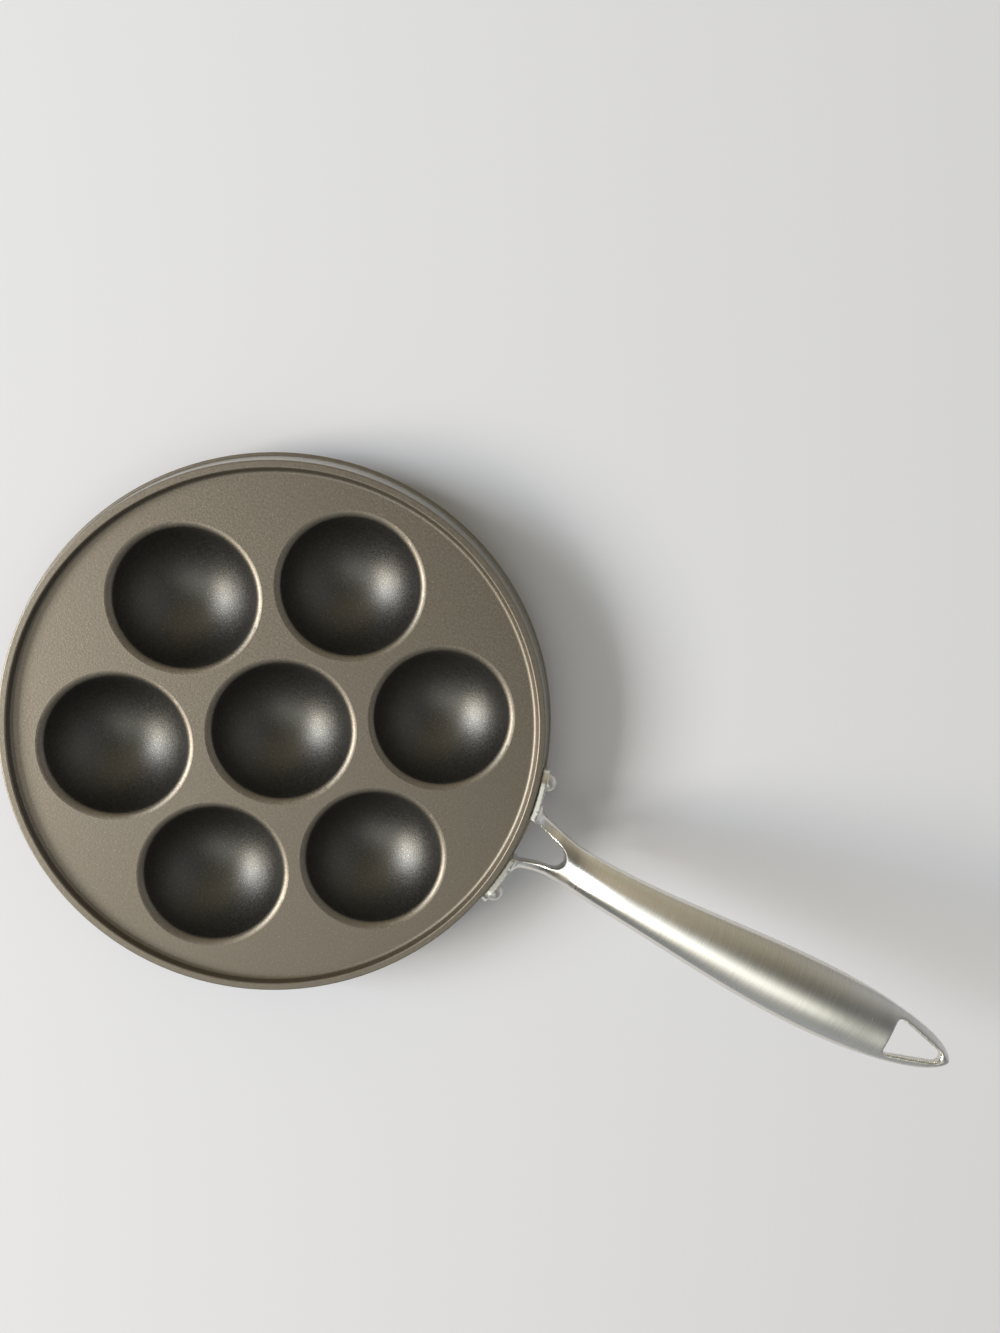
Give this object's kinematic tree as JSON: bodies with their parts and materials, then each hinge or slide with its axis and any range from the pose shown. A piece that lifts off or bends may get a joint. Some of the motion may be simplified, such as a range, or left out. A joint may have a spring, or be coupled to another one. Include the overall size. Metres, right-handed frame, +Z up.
{
  "type": "aebleskiver pan",
  "caption": "Aebleskiver pan: a cast, coated pan with round wells for batter balls and a forked, hollow steel handle riveted to its side, with a hanging hole.",
  "frame": {"origin": "on the pan's axis, at the flats of the cups that the pan stands on", "axes": "+Z up along the pan's axis, +X along the handle towards its tip, +Y square to both"},
  "size_m": [0.4307, 0.2382, 0.0848],
  "materials": {
    "coated_cast_aluminium": "cast aluminium under a matte to satin, fine-grained grey-brown non-stick coating, darker inside the wells",
    "handle_steel": "stainless steel, finely brushed along the handle, satin",
    "rivet_metal": "pale satin metal"
  },
  "bodies": {
    "root": {"pan_casting": "coated_cast_aluminium", "handle_upper_shell": "handle_steel", "handle_lower_shell": "handle_steel", "rivet_left": "rivet_metal", "rivet_right": "rivet_metal"}
  },
  "joints": []
}
